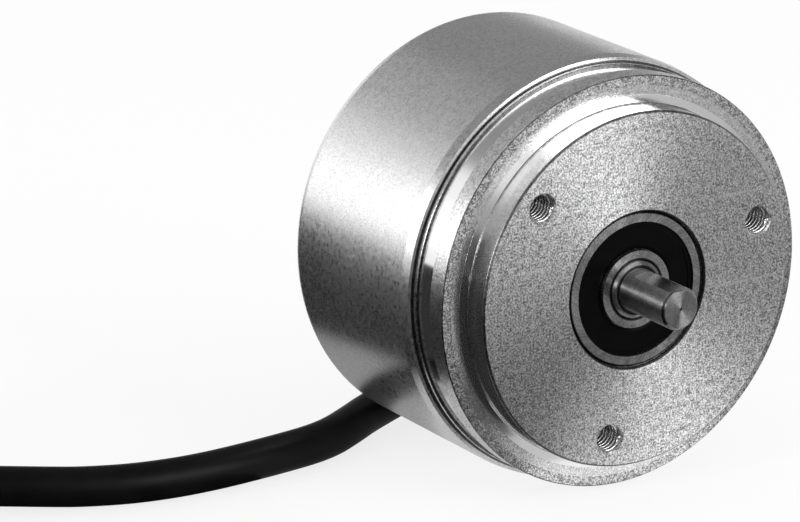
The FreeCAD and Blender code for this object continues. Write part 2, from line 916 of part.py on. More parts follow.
save("flange", flange())
save("cover", cover())
save("cover_seal", cover_seal())
save("cover_screws", *cover_screws())
save_bearing("front", front_bearing_y)
save_bearing("rear", rear_bearing_y)
save("preload_spring", preload_spring())
save("bearing_spacer", bearing_spacer())
save("shaft", shaft())
save("disc_hub", disc_hub())
save("hub_set_screw", hub_set_screw())
save("code_disc", code_disc())
save("disc_clamp_ring", disc_clamp_ring())
save("led_holder", led_holder())
save("led", led())
save("led_leads", *led_leads())
save("led_holder_screws", *led_holder_screws())
save("reticle_frame", reticle_frame())
save("reticle", receiver_plate(reticle_y, reticle_thickness))
save("sensor_chip", receiver_plate(chip_y, chip_height))
save("sensor_board", board(sensor_board_y))
save("main_board", board(main_board_y))
through_board = board_thickness + stud_grip
save("front_pillars", *pillars(plate_thickness, sensor_board_y, stud_flange_grip, through_board))
save("middle_pillars", *pillars(sensor_board_rear, main_board_y, through_board, stud_grip))
save("rear_pillars", *pillars(main_board_rear, cover_inner_rear, through_board, cover_screw_grip))
save("line_driver", line_driver())
save("board_header", board_header())
save("capacitor", capacitor())
save("cable_connector", cable_connector())
save("cable_cores", *cable_cores())
save("cable_outlet", cable_outlet())
save("outlet_seal_ring", outlet_seal_ring())
save("outlet_nut", outlet_nut())
save("cable", cable())
save("cable_coil", cable_coil())
save("coil_tie", coil_tie())
save("cable_leads", *cable_leads())
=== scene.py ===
import bpy
import bmesh
import math
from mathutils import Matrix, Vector


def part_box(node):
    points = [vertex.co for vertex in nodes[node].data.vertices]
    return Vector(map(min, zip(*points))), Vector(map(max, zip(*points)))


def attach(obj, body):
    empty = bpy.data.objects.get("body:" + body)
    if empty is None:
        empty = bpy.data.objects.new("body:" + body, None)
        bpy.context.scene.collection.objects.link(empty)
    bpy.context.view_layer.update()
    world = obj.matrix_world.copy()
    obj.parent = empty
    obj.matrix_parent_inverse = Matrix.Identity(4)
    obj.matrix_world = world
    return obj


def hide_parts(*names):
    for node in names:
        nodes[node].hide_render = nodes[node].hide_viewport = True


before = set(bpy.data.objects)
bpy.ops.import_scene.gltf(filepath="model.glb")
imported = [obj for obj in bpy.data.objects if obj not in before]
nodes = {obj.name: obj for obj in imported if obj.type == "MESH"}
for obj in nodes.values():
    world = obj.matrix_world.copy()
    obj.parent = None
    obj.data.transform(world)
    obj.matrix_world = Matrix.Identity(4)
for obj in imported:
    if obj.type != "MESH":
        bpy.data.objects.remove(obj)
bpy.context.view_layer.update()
mm = 0.001
print("frame loaded:", len(nodes), "nodes")


def addObject(name, data):
    made = bpy.data.objects.new(name, data)
    bpy.context.scene.collection.objects.link(made)
    return made


# camera, fitted to the photograph's outline
photoCamera = {
    "azimuth": -32.2,
    "elevation": 17.48,
    "distance": 650 * mm,
    "aside": -32.23 * mm,
    "raised": 3.94 * mm,
    "focalPixels": 4800,
    "imageWidth": 800,
    "sensorWidth": 36.0,
    "clip": (0.01, 20),
}


def placeCamera(view):
    azimuth = math.radians(view["azimuth"])
    elevation = math.radians(view["elevation"])
    flat = math.cos(elevation)
    back = Vector((math.sin(azimuth) * flat, -math.cos(azimuth) * flat, math.sin(elevation)))
    right = Vector((math.cos(azimuth), math.sin(azimuth), 0))
    data = bpy.data.cameras.new("photoCamera")
    data.sensor_width = view["sensorWidth"]
    data.lens = view["focalPixels"] * view["sensorWidth"] / view["imageWidth"]
    data.clip_start, data.clip_end = view["clip"]
    camera = addObject("photoCamera", data)
    camera.location = back * view["distance"] + right * view["aside"] + back.cross(right) * view["raised"]
    camera.rotation_euler = (-back).to_track_quat("-Z", "Y").to_euler()
    bpy.context.scene.camera = camera


placeCamera(photoCamera)
print("camera placed")


# node helpers: a plain value sets a socket, another socket is linked to it
def setInputs(tree, node, values):
    for key, value in values.items():
        if isinstance(value, bpy.types.NodeSocket):
            tree.links.new(value, node.inputs[key])
        else:
            node.inputs[key].default_value = value


def addNode(tree, kind, values=None, **attributes):
    node = tree.nodes.new("ShaderNode" + kind)
    for key, value in attributes.items():
        setattr(node, key, value)
    setInputs(tree, node, values or {})
    return node


def addMath(tree, operation, first, second=0.0, third=0.0):
    return addNode(tree, "Math", {0: first, 1: second, 2: third}, operation=operation).outputs[0]


def addNoise(tree, vector, scale, detail, roughness=0.5):
    values = {"Vector": vector, "Scale": scale, "Detail": detail, "Roughness": roughness}
    return addNode(tree, "TexNoise", values).outputs[0]


def remap(tree, value, fromLow, fromHigh, toLow=0.0, toHigh=1.0):
    values = {"Value": value, "From Min": fromLow, "From Max": fromHigh, "To Min": toLow, "To Max": toHigh}
    return addNode(tree, "MapRange", values).outputs["Result"]


def mixColour(tree, share, first, second):
    node = addNode(tree, "Mix", data_type="RGBA")
    setInputs(tree, node, {"Factor": share, 6: first, 7: second})
    return node.outputs[2]


def mixValue(tree, share, first, second):
    return addNode(tree, "Mix", {"Factor": share, 2: first, 3: second}).outputs[0]


def grey(level, warmth=0.0):
    return (level * (1 + warmth), level, level * (1 - warmth), 1)


def newGroup(name, inputs, outputs):
    group = bpy.data.node_groups.new(name, "ShaderNodeTree")
    for label, kind, value in inputs:
        socket = group.interface.new_socket(label, in_out="INPUT", socket_type="NodeSocket" + kind)
        if value is not None:
            socket.default_value = value
    for label, kind in outputs:
        group.interface.new_socket(label, in_out="OUTPUT", socket_type="NodeSocket" + kind)
    return group, group.nodes.new("NodeGroupInput").outputs, group.nodes.new("NodeGroupOutput").inputs


def useGroup(tree, group, values):
    node = tree.nodes.new("ShaderNodeGroup")
    node.node_tree = group
    setInputs(tree, node, values)
    return node.outputs


# distance from the shaft's axis, place along it, and the direction of the turn about it
def makeLatheSpot():
    group, given, result = newGroup(
        "latheSpot",
        [("Vector", "Vector", None)],
        [("Radius", "Float"), ("Along", "Float"), ("Turn", "Vector")],
    )
    axes = addNode(group, "SeparateXYZ", {0: given["Vector"]}).outputs
    level = addNode(group, "CombineXYZ", {"X": axes["X"], "Y": axes["Z"]}).outputs[0]
    radius = addNode(group, "VectorMath", {0: level}, operation="LENGTH").outputs["Value"]
    turn = addNode(group, "VectorMath", {0: level}, operation="NORMALIZE").outputs["Vector"]
    group.links.new(radius, result["Radius"])
    group.links.new(axes["Y"], result["Along"])
    group.links.new(turn, result["Turn"])
    return group


# lathe lines: they follow the radius on a face and the length on a round wall
toolMarkValues = {
    "wanderScale": 40.0, "wanderDetail": 1.0, "wander": 0.3 * mm,
    "lineDetail": 2.0, "lineRoughness": 0.6, "lineRange": (0.35, 0.65),
}


def makeToolMarks(look):
    group, given, result = newGroup(
        "toolMarks",
        [
            ("Vector", "Vector", None), ("Radius", "Float", 0), ("Along", "Float", 0),
            ("Lines", "Float", 6000),
        ],
        [("Height", "Float"), ("Line", "Float")],
    )
    wander = addNoise(group, given["Vector"], look["wanderScale"], look["wanderDetail"])
    wander = addMath(group, "MULTIPLY", wander, look["wander"])
    across = addMath(group, "MULTIPLY", addMath(group, "ADD", given["Radius"], wander), given["Lines"])
    along = addMath(group, "MULTIPLY", addMath(group, "ADD", given["Along"], wander), given["Lines"])
    spot = addNode(group, "CombineXYZ", {"X": across, "Y": along}).outputs[0]
    lines = addNoise(group, spot, 1.0, look["lineDetail"], look["lineRoughness"])
    group.links.new(lines, result["Height"])
    group.links.new(remap(group, lines, *look["lineRange"]), result["Line"])
    return group


# slanted strokes of a face that was ground with a cup wheel
strokeValues = {"detail": 2.0, "roughness": 0.7, "range": (0.36, 0.64)}


def makeGroundStrokes(look):
    group, given, result = newGroup(
        "groundStrokes",
        [("Turn", "Vector", None), ("Radius", "Float", 0), ("Slant", "Float", 90), ("Strokes", "Float", 50)],
        [("Stroke", "Float")],
    )
    lean = addMath(group, "MULTIPLY", given["Radius"], given["Slant"])
    swept = addNode(group, "VectorRotate", {"Vector": given["Turn"], "Angle": lean}, rotation_type="Z_AXIS")
    noise = addNoise(group, swept.outputs[0], given["Strokes"], look["detail"], look["roughness"])
    group.links.new(remap(group, noise, *look["range"]), result["Stroke"])
    return group


# matt grain left by tumbling and pickling: salt and pepper specks, and small dark pits
grainValues = {
    "fineDetail": 3.0, "fineRoughness": 0.7, "speckRange": (0.55, 0.75),
    "cloudDetail": 4.0, "cloudShare": 0.3, "cloudRange": (0.3, 0.7),
    "pitScale": 0.5, "pitChosen": (0.62, 0.8), "pitEdge": (0.22, 0.42), "pitHeight": -0.5,
}


def makeTumbledGrain(look):
    group, given, result = newGroup(
        "tumbledGrain",
        [("Vector", "Vector", None), ("Fine", "Float", 5200), ("Coarse", "Float", 900)],
        [("Height", "Float"), ("Speck", "Float"), ("Pit", "Float"), ("Cloud", "Float")],
    )
    fine = addNoise(group, given["Vector"], given["Fine"], look["fineDetail"], look["fineRoughness"])
    cloud = addNoise(group, given["Vector"], given["Coarse"], look["cloudDetail"])
    pitScale = addMath(group, "MULTIPLY", given["Fine"], look["pitScale"])
    cells = addNode(group, "TexVoronoi", {"Vector": given["Vector"], "Scale": pitScale}).outputs
    chosen = addNode(group, "SeparateColor", {0: cells["Color"]}).outputs[0]
    pits = remap(group, cells["Distance"], *look["pitEdge"], 1.0, 0.0)
    pits = addMath(group, "MULTIPLY", pits, remap(group, chosen, *look["pitChosen"]))
    speck = addMath(group, "MULTIPLY_ADD", cloud, look["cloudShare"], fine)
    group.links.new(addMath(group, "MULTIPLY_ADD", pits, look["pitHeight"], fine), result["Height"])
    group.links.new(remap(group, speck, *look["speckRange"]), result["Speck"])
    group.links.new(pits, result["Pit"])
    group.links.new(remap(group, cloud, *look["cloudRange"]), result["Cloud"])
    return group


# soft patches from handling, for gloss, and hair scratches
handlingValues = {
    "patchDetail": 3.0, "patchRange": (0.35, 0.65),
    "hairTurn": (0.4, 0.9, 0.3), "hairScale": (60, 2600, 900), "hairDetail": 1.0, "hairRange": (0.70, 0.78),
}


def makeHandling(look):
    group, given, result = newGroup(
        "handling",
        [("Vector", "Vector", None), ("Size", "Float", 60)],
        [("Patch", "Float"), ("Scratch", "Float")],
    )
    patch = addNoise(group, given["Vector"], given["Size"], look["patchDetail"])
    stretch = {"Vector": given["Vector"], "Rotation": look["hairTurn"], "Scale": look["hairScale"]}
    hair = addNoise(group, addNode(group, "Mapping", stretch).outputs[0], 1.0, look["hairDetail"])
    group.links.new(remap(group, patch, *look["patchRange"]), result["Patch"])
    group.links.new(remap(group, hair, *look["hairRange"]), result["Scratch"])
    return group


latheSpot = makeLatheSpot()
toolMarks = makeToolMarks(toolMarkValues)
groundStrokes = makeGroundStrokes(strokeValues)
tumbledGrain = makeTumbledGrain(grainValues)
handling = makeHandling(handlingValues)


# values name the shader's sockets, with _ for a space
def newMaterial(name, **values):
    material = bpy.data.materials.new(name)
    material.use_nodes = True
    tree = material.node_tree
    shader = tree.nodes["Principled BSDF"]
    for key, value in values.items():
        shader.inputs[key.replace("_", " ")].default_value = value
    spot = addNode(tree, "TexCoord").outputs["Object"]
    return material, tree, shader, spot


def bump(tree, height, depth):
    return addNode(tree, "Bump", {"Height": height, "Strength": 1.0, "Distance": depth}).outputs[0]


def band(tree, value, low, high, soft=0.02 * mm):
    rising = remap(tree, value, low - soft, low + soft)
    return addMath(tree, "MULTIPLY", rising, remap(tree, value, high - soft, high + soft, 1.0, 0.0))


# a mask for turned zones, each given by its radii, its places along the axis (in mm) and a share
def zoneMask(tree, lathe, zones):
    mask = 0.0
    for radiusLow, radiusHigh, alongLow, alongHigh, share in zones:
        zone = band(tree, lathe["Radius"], radiusLow * mm, radiusHigh * mm)
        zone = addMath(tree, "MULTIPLY", zone, band(tree, lathe["Along"], alongLow * mm, alongHigh * mm))
        mask = addMath(tree, "MAXIMUM", mask, addMath(tree, "MULTIPLY", zone, share))
    return mask


# what a metal has unless its own look says otherwise
metalDefaults = {
    "smoothZones": [], "smoothRough": 0.1, "smoothTone": 0.9, "glossZones": [], "glossRough": 0.18,
    # painted shade: each look's dark zones and their near-black tone
    "paintedShadeZones": [], "paintedShadeTone": 0.02, "pitTone": 0.3, "strokes": 0.0, "latheTurn": 0.25,
}


# turned, tumbled or ground metal, with values for each piece
def machinedMetal(name, ownLook):
    look = {**metalDefaults, **ownLook}
    material, tree, shader, spot = newMaterial(
        name, Metallic=1.0, Anisotropic=look["anisotropic"], Anisotropic_Rotation=look["latheTurn"]
    )
    lathe = useGroup(tree, latheSpot, {"Vector": spot})
    place = {"Radius": lathe["Radius"], "Along": lathe["Along"]}
    marks = useGroup(tree, toolMarks, {"Vector": spot, "Lines": look["lines"], **place})
    grain = useGroup(tree, tumbledGrain, {"Vector": spot, "Fine": look["fine"], "Coarse": look["coarse"]})
    wear = useGroup(tree, handling, {"Vector": spot})
    smooth = zoneMask(tree, lathe, look["smoothZones"])
    gloss = zoneMask(tree, lathe, look["glossZones"])
    paintedShade = zoneMask(tree, lathe, look["paintedShadeZones"])

    def laid(tone, mask, share, level):
        return mixColour(tree, addMath(tree, "MULTIPLY", mask, share), tone, grey(level))

    tone = mixColour(tree, grain["Speck"], grey(look["dark"]), grey(look["light"]))
    tone = laid(tone, grain["Pit"], look["pits"], look["dark"] * look["pitTone"])
    tone = laid(tone, marks["Line"], look["streak"], look["light"])
    tone = laid(tone, wear["Scratch"], look["scratch"], look["light"])
    if look["strokes"]:
        strokes = useGroup(tree, groundStrokes, {"Turn": lathe["Turn"], "Radius": lathe["Radius"]})
        tone = laid(tone, strokes["Stroke"], look["strokes"], look["dark"])
    tone = mixColour(tree, smooth, tone, grey(look["light"] * look["smoothTone"]))
    # painted shade: the listed dark zones turn the colour near-black
    tone = mixColour(tree, paintedShade, tone, grey(look["paintedShadeTone"]))

    spread = look["roughSpread"]
    rough = mixValue(tree, grain["Cloud"], look["rough"] - spread, look["rough"] + spread)
    rough = addMath(tree, "MULTIPLY_ADD", wear["Patch"], spread, rough)
    rough = mixValue(tree, gloss, rough, look["glossRough"])
    rough = mixValue(tree, smooth, rough, look["smoothRough"])

    rest = addMath(tree, "SUBTRACT", 1.0, smooth)
    height = addMath(tree, "MULTIPLY", addMath(tree, "MULTIPLY", grain["Height"], look["grain"]), rest)
    lines = addMath(tree, "MULTIPLY", marks["Height"], look["marks"])
    height = addMath(tree, "MULTIPLY_ADD", lines, rest, height)
    tangent = addNode(tree, "Tangent", direction_type="RADIAL", axis="Y").outputs[0]
    normal = bump(tree, height, look["depth"])
    setInputs(tree, shader, {"Base Color": tone, "Roughness": rough, "Tangent": tangent, "Normal": normal})
    return material


flangeLook = {
    "dark": 0.14, "light": 1.0, "rough": 0.40, "roughSpread": 0.04, "fine": 3800, "coarse": 1200,
    "pits": 0.6, "lines": 5200, "streak": 0.22, "grain": 1.0, "marks": 0.3, "scratch": 0.4,
    "depth": 0.03 * mm, "anisotropic": 0.8, "smoothRough": 0.11, "glossRough": 0.2,
    "smoothZones": [
        (24.8, 25.1, 0.3, 3.85, 0.9),  # pilot wall
        (28.9, 29.2, 4.2, 7.05, 0.4),  # rim wall
        (28.0, 28.9, 7.0, 10.4, 1.0),  # polished clamp groove
        (29.04, 29.3, 10.3, 11.1, 0.7),  # collar
        (25.1, 26.3, 3.9, 4.1, 1.0), (26.3, 27.6, 3.9, 4.1, 0.5),  # shoulder near the pilot
    ],
    "glossZones": [(25.2, 28.9, 3.9, 4.1, 0.9)],  # shoulder behind the pilot
    "paintedShadeZones": [
        (24.72, 25.2, -0.2, 0.28, 0.8), (28.86, 29.2, 3.9, 4.14, 0.8),  # painted shade on the pilot's and the rim's front edges
        (24.8, 25.15, 3.85, 4.02, 0.6), (28.0, 29.0, 10.33, 10.5, 0.8),  # painted shade in the inside corners
        (10.9, 11.24, -0.1, 0.6, 0.95),  # painted shade in the gap round the bearing
    ],
}
coverLook = {
    "dark": 0.64, "light": 0.86, "rough": 0.27, "roughSpread": 0.05, "fine": 3800, "coarse": 1500,
    "pits": 0.08, "lines": 3000, "streak": 0.15, "grain": 1.0, "marks": 0.12, "scratch": 0.4,
    "depth": 0.006 * mm, "anisotropic": 0.0,
    "paintedShadeZones": [(28.0, 29.38, 11.0, 11.3, 0.85)],  # painted shade on the front edge, down in the gap
}
ringLook = {
    "dark": 0.22, "light": 0.62, "rough": 0.24, "roughSpread": 0.04, "fine": 5200, "coarse": 900,
    "pits": 0.0, "lines": 9000, "streak": 0.3, "grain": 0.15, "marks": 0.3, "scratch": 0.0,
    "depth": 0.006 * mm, "anisotropic": 0.75, "strokes": 0.75,
    "paintedShadeZones": [(10.68, 11.1, 0.0, 1.2, 0.9), (3.9, 4.42, 0.0, 1.2, 0.9)],  # painted shade on the outer edge and the bore edge, beside the gaps
}
shaftLook = {
    "dark": 0.18, "light": 0.38, "rough": 0.36, "roughSpread": 0.015, "fine": 5200, "coarse": 900,
    "pits": 0.0, "lines": 7000, "streak": 0.4, "grain": 0.1, "marks": 0.6, "scratch": 0.1,
    "depth": 0.004 * mm, "anisotropic": 0.95,
    "smoothZones": [(2.3, 2.96, -9.9, -1.4, 1.0)], "smoothRough": 0.18,  # the milled flat
    "paintedShadeZones": [
        (3.05, 3.5, -1.0, 2.0, 0.95),  # painted shade in the seat corner
        (-1.0, 0.21, -10.5, -9.0, 0.9),  # painted shade in the centre mark
        (2.3, 2.96, -9.9, -1.4, 0.62),  # painted shade on the flat, dimming its reflection
    ],
}
plainSteel = dict(shaftLook, smoothZones=[], paintedShadeZones=[])
threadLook = dict(plainSteel, dark=0.52, light=0.86, rough=0.15, anisotropic=0.0)
screwLook = dict(plainSteel, dark=0.40, light=0.55, rough=0.3)
springLook = dict(plainSteel, dark=0.28, light=0.40, rough=0.28)
hubLook = dict(flangeLook, dark=0.55, light=0.70, rough=0.3, smoothZones=[], glossZones=[], paintedShadeZones=[])


# plain moulded or extruded finish: a colour with fine grain and soft gloss changes
def mouldedFinish(name, look):
    material, tree, shader, spot = newMaterial(
        name, Metallic=look["metallic"], Specular_IOR_Level=look["specular"]
    )
    grain = useGroup(tree, tumbledGrain, {"Vector": spot, "Fine": look["fine"], "Coarse": look["coarse"]})
    wear = useGroup(tree, handling, {"Vector": spot})
    tone = mixColour(tree, grain["Cloud"], look["low"], look["high"])
    spread = look["roughSpread"]
    rough = mixValue(tree, wear["Patch"], look["rough"] - spread, look["rough"] + spread)
    normal = bump(tree, grain["Height"], look["depth"])
    setInputs(tree, shader, {"Base Color": tone, "Roughness": rough, "Normal": normal})
    return material


mouldedDefaults = {
    "roughSpread": 0.06, "depth": 0.006 * mm, "fine": 4000, "coarse": 500, "metallic": 0.0, "specular": 0.5,
}


def moulded(low, high, rough, **own):
    return {**mouldedDefaults, "low": low, "high": high, "rough": rough, **own}


jacketLook = moulded(grey(0.003), grey(0.005), 0.45, depth=0.010 * mm, fine=1800, coarse=260, specular=0.12)
rubberLook = moulded(grey(0.0012), grey(0.002), 0.38, specular=0.06)
outletLook = moulded(grey(0.016), grey(0.024), 0.5, fine=3000)
tieLook = moulded(grey(0.02), grey(0.03), 0.35)
holderLook = moulded(grey(0.03), grey(0.045), 0.45)
chipLook = moulded(grey(0.03), grey(0.05), 0.25)
cageLook = moulded((0.62, 0.56, 0.42, 1), (0.70, 0.64, 0.5, 1), 0.4)
brassLook = moulded((0.62, 0.45, 0.18, 1), (0.74, 0.57, 0.27, 1), 0.3, metallic=1.0)
boardLook = moulded((0.015, 0.09, 0.035, 1), (0.03, 0.14, 0.06, 1), 0.35, coarse=900)
canLook = moulded(grey(0.5), grey(0.62), 0.25, metallic=1.0)
coreLook = moulded(grey(0.30), grey(0.42), 0.45)
lensLook = moulded(grey(0.62), grey(0.72), 0.12)
discLook = moulded(grey(0.5, 0.02), grey(0.6, 0.02), 0.2, metallic=1.0, depth=0.002 * mm)


def dress(material, names):
    for name in names:
        mesh = nodes[name].data
        mesh.materials.clear()
        mesh.materials.append(material)


def bearingParts(*parts):
    return [side + "_bearing_" + part for side in ("front", "rear") for part in parts]


# the finish of each CAD node; the cable's leads get theirs with the cable
metalPieces = {
    "flangeMetal": (flangeLook, ["flange"]),
    "coverMetal": (coverLook, ["cover"]),
    "groundSteel": (ringLook, bearingParts("outer_ring", "inner_ring", "balls")),
    "shaftSteel": (shaftLook, ["shaft", "bearing_spacer"]),
    "screwSteel": (screwLook, ["cover_screws", "led_holder_screws", "hub_set_screw"]),
    "springSteel": (springLook, ["preload_spring"]),
    "hubAluminium": (hubLook, ["disc_hub", "disc_clamp_ring"]),
}
mouldedPieces = {
    "sealRubber": (rubberLook, ["cover_seal", "outlet_seal_ring"] + bearingParts("front_seal", "rear_seal")),
    "cageNylon": (cageLook, bearingParts("cage")),
    "pillarBrass": (brassLook, ["front_pillars", "middle_pillars", "rear_pillars"]),
    "holderPlastic": (
        holderLook, ["led_holder", "reticle_frame", "line_driver", "board_header", "cable_connector"]
    ),
    "chipBlack": (chipLook, ["sensor_chip"]),
    "boardGreen": (boardLook, ["sensor_board", "main_board"]),
    "capacitorCan": (canLook, ["capacitor"]),
    "codeDiscMetal": (discLook, ["code_disc"]),
    "ledLens": (lensLook, ["led"]),
    "reticleGlass": (lensLook, ["reticle"]),
    "outletPlastic": (outletLook, ["cable_outlet", "outlet_nut"]),
    "coreInsulation": (coreLook, ["cable_cores"]),
    "tinnedLead": (canLook, ["led_leads"]),
    "tieNylon": (tieLook, ["coil_tie"]),
}
for finish, pieces in ((machinedMetal, metalPieces), (mouldedFinish, mouldedPieces)):
    for name, (look, names) in pieces.items():
        dress(finish(name, look), names)
print("materials on", len(nodes), "nodes")


def addPiece(name, data, body, material):
    data.materials.append(material)
    piece = addObject(name, data)
    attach(piece, body)
    return piece


def meshFrom(bm, name):
    mesh = bpy.data.meshes.new(name)
    bm.to_mesh(mesh)
    bm.free()
    return mesh


# threads in the three face holes, each a ridge wound along its hole
faceThread = {
    "circle": 42.0 * mm, "count": 3, "firstAngle": 18.3, "rootRadius": 2.0 * mm, "crestRadius": 1.66 * mm,
    "pitch": 0.7 * mm, "rootWidth": 0.62 * mm, "crestWidth": 0.12 * mm, "start": 0.55 * mm,
    "turns": 11, "steps": 30,
}


def makeFaceThreads(thread):
    bm = bmesh.new()
    corners = [
        (thread["rootRadius"], -thread["rootWidth"] / 2),
        (thread["crestRadius"], -thread["crestWidth"] / 2),
        (thread["crestRadius"], thread["crestWidth"] / 2),
        (thread["rootRadius"], thread["rootWidth"] / 2),
    ]
    steps = thread["steps"] * thread["turns"]
    rise = (0, thread["pitch"] / thread["steps"], 0)
    for k in range(thread["count"]):
        angle = math.radians(thread["firstAngle"] + 360 * k / thread["count"])
        middle = Vector((math.cos(angle), 0, math.sin(angle))) * (thread["circle"] / 2)
        verts = [bm.verts.new(middle + Vector((r, thread["start"] + y, 0))) for r, y in corners]
        edges = [bm.edges.new((verts[i - 1], verts[i])) for i in range(len(verts))]
        spun = bmesh.ops.spin(
            bm, geom=verts + edges, cent=middle, axis=(0, 1, 0), dvec=rise,
            angle=2 * math.pi * thread["turns"], steps=steps, use_merge=False, use_duplicate=False,
        )
        bm.faces.new(verts)
        bm.faces.new([v for v in spun["geom_last"] if isinstance(v, bmesh.types.BMVert)])
    bmesh.ops.recalc_face_normals(bm, faces=bm.faces)
    for face in bm.faces:
        face.smooth = len(face.verts) == 4
    finish = machinedMetal("cutThread", threadLook)
    addPiece("faceThreads", meshFrom(bm, "faceThreads"), "housing", finish)


makeFaceThreads(faceThread)
print("threads cut")

# cable: the route on the table, then a coil of stacked turns and the free end
# the route and the coil's sizes are in mm, its angles in degrees
cableRun = {
    "route": [
        (-7.0, 45.0, -25.8), (-9.6, 44.7, -26.05), (-13.6, 43.75, -26.8), (-17.45, 42.15, -27.1),
        (-21.0, 39.9, -27.15), (-27.05, 36.35, -27.15), (-33.65, 34.85, -27.15), (-48.75, 33.4, -27.15),
        (-58.35, 34.6, -27.15), (-65.05, 37.2, -27.15), (-68.4, 38.8, -27.05), (-77.2, 43.7, -26.7),
        (-86.0, 49.4, -26.7),
    ],
    "diameter": 5.6 * mm, "length": 1.0, "leadIn": 20.5, "tail": 2.9,
    "coilRadius": 32.2, "pitch": 5.8, "coilAngle": 1587, "coilPoints": 71, "climbFrom": 250, "climbTo": 320,
    "stepsAlong": 10, "stepsRound": 7,
}


# points of the coil, by angle from where the lead-in touches it
# each turn climbs before it meets the lead-in
def coilPoints(run):
    end = Vector(run["route"][-1])
    ahead = end - Vector(run["route"][-2])
    ahead.z = 0
    ahead.normalize()
    inward = Vector((-ahead.y, ahead.x, 0))
    middle = end + ahead * run["leadIn"] + inward * run["coilRadius"]
    step = run["coilAngle"] / run["coilPoints"]
    fuller = 1 / math.cos(math.radians(step / 2))  # the curve runs inside its control points

    def spot(turn, radius):
        climb = (turn % 360 - run["climbFrom"]) / (run["climbTo"] - run["climbFrom"])
        layer = turn // 360 + min(1, max(0, climb))
        angle = math.radians(turn)
        out = ahead * math.sin(angle) - inward * math.cos(angle)
        return middle + out * radius + Vector((0, 0, layer * run["pitch"]))

    points = [spot(step * (k + 0.5), run["coilRadius"] * fuller) for k in range(run["coilPoints"])]
    last = math.radians(run["coilAngle"])
    way = ahead * math.cos(last) + inward * math.sin(last)
    points.append(spot(run["coilAngle"], run["coilRadius"]) + way * run["tail"])
    return points


# the ring gives each outer core's colour from a share of the turn on
leadLook = {
    "middle": (0.06, 0.022, 0.01, 1), "middleEdge": (0.62 * mm, 0.7 * mm),
    "bare": grey(0.6), "bareEdge": (4.5 * mm, 4.6 * mm), "rough": 0.38, "depth": 0.004 * mm,
    "ring": [
        (0.0, (0.5, 0.5, 0.48, 1)), (0.125, (0.02, 0.12, 0.04, 1)), (0.375, (0.5, 0.33, 0.02, 1)),
        (0.625, (0.14, 0.14, 0.15, 1)), (0.875, (0.5, 0.5, 0.48, 1)),
    ],
}


# insulated cores with stripped tips: each core's colour comes from its place round the middle one
def coreFinish(name, look, middle, way):
    material, tree, shader, spot = newMaterial(name, Roughness=look["rough"])
    offset = addNode(tree, "VectorMath", {0: spot, 1: middle}, operation="SUBTRACT").outputs[0]
    up = Vector((0, 0, 1))
    ahead, aside, height = (
        addNode(tree, "VectorMath", {0: offset, 1: axis}, operation="DOT_PRODUCT").outputs["Value"]
        for axis in (way, way.cross(up), up)
    )
    turn = remap(tree, addMath(tree, "ARCTAN2", height, aside), -math.pi, math.pi)
    ramp = addNode(tree, "ValToRGB", {"Fac": turn})
    ramp.color_ramp.interpolation = "CONSTANT"
    stops = ramp.color_ramp.elements
    for place, colour in look["ring"][1:-1]:
        stops.new(place).color = colour
    stops[0].color = look["ring"][0][1]
    stops[-1].position, stops[-1].color = look["ring"][-1]
    squares = addMath(tree, "MULTIPLY_ADD", aside, aside, addMath(tree, "MULTIPLY", height, height))
    outer = remap(tree, addMath(tree, "SQRT", squares), *look["middleEdge"])
    colour = mixColour(tree, outer, look["middle"], ramp.outputs[0])
    bare = remap(tree, ahead, *look["bareEdge"])
    colour = mixColour(tree, bare, colour, look["bare"])
    grain = useGroup(tree, tumbledGrain, {"Vector": spot})
    normal = bump(tree, grain["Height"], look["depth"])
    setInputs(tree, shader, {"Base Color": colour, "Metallic": bare, "Normal": normal})
    return material


def makeCable(run):
    curve = bpy.data.curves.new("cableCord", "CURVE")
    curve.dimensions = "3D"
    curve.resolution_u = run["stepsAlong"]
    curve.bevel_depth = run["diameter"] / 2
    curve.bevel_resolution = run["stepsRound"]
    curve.use_fill_caps = True
    points = [Vector(p) for p in run["route"]] + coilPoints(run)
    spline = curve.splines.new("NURBS")
    spline.points.add(len(points) - 1)
    for target, point in zip(spline.points, points):
        target.co = (*(point * mm), 1)
    spline.order_u = 3
    spline.use_endpoint_u = True
    low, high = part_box("cable_leads")
    way = (points[-1] - points[-2]).normalized()
    dress(coreFinish("leadInsulation", leadLook, (low + high) / 2, way), ["cable_leads"])
    jacket = mouldedFinish("cableJacket", jacketLook)
    cord = addPiece("cableCord", curve, "housing", jacket)
    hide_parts("cable", "cable_coil")


makeCable(cableRun)
print("cable laid")

# table and surroundings
stageSet = {
    "floorSize": 6.0, "floorHeight": -30.02 * mm, "floorTone": 0.94, "floorRough": 0.9,
    "shadowShare": 0.2, "ambient": 0.82,
}


def seenDirectly(tree):
    path = addNode(tree, "LightPath").outputs
    both = addMath(tree, "MAXIMUM", path["Is Camera Ray"], path["Is Glossy Ray"])
    return addMath(tree, "MAXIMUM", both, path["Is Transmission Ray"])


def makeFloor(look):
    bm = bmesh.new()
    bmesh.ops.create_grid(bm, x_segments=1, y_segments=1, size=look["floorSize"] / 2)
    bmesh.ops.translate(bm, verts=bm.verts, vec=(0, 0, look["floorHeight"]))
    mesh = meshFrom(bm, "floor")
    material, tree, shader = newMaterial(
        "paleFloor", Base_Color=grey(look["floorTone"]), Roughness=look["floorRough"]
    )[:3]
    glow = addNode(tree, "Emission", {"Color": grey(1.0)})
    share = addMath(tree, "MULTIPLY", seenDirectly(tree), 1 - look["shadowShare"])
    mixed = addNode(tree, "MixShader", {0: share, 1: shader.outputs[0], 2: glow.outputs[0]})
    tree.links.new(mixed.outputs[0], tree.nodes["Material Output"].inputs["Surface"])
    mesh.materials.append(material)
    addObject("floor", mesh)


def makeWorld(look):
    world = bpy.data.worlds.new("studio")
    world.use_nodes = True
    tree = world.node_tree
    strength = mixValue(tree, seenDirectly(tree), look["ambient"], 1.0)
    setInputs(tree, tree.nodes["Background"], {"Color": grey(1.0), "Strength": strength})
    bpy.context.scene.world = world


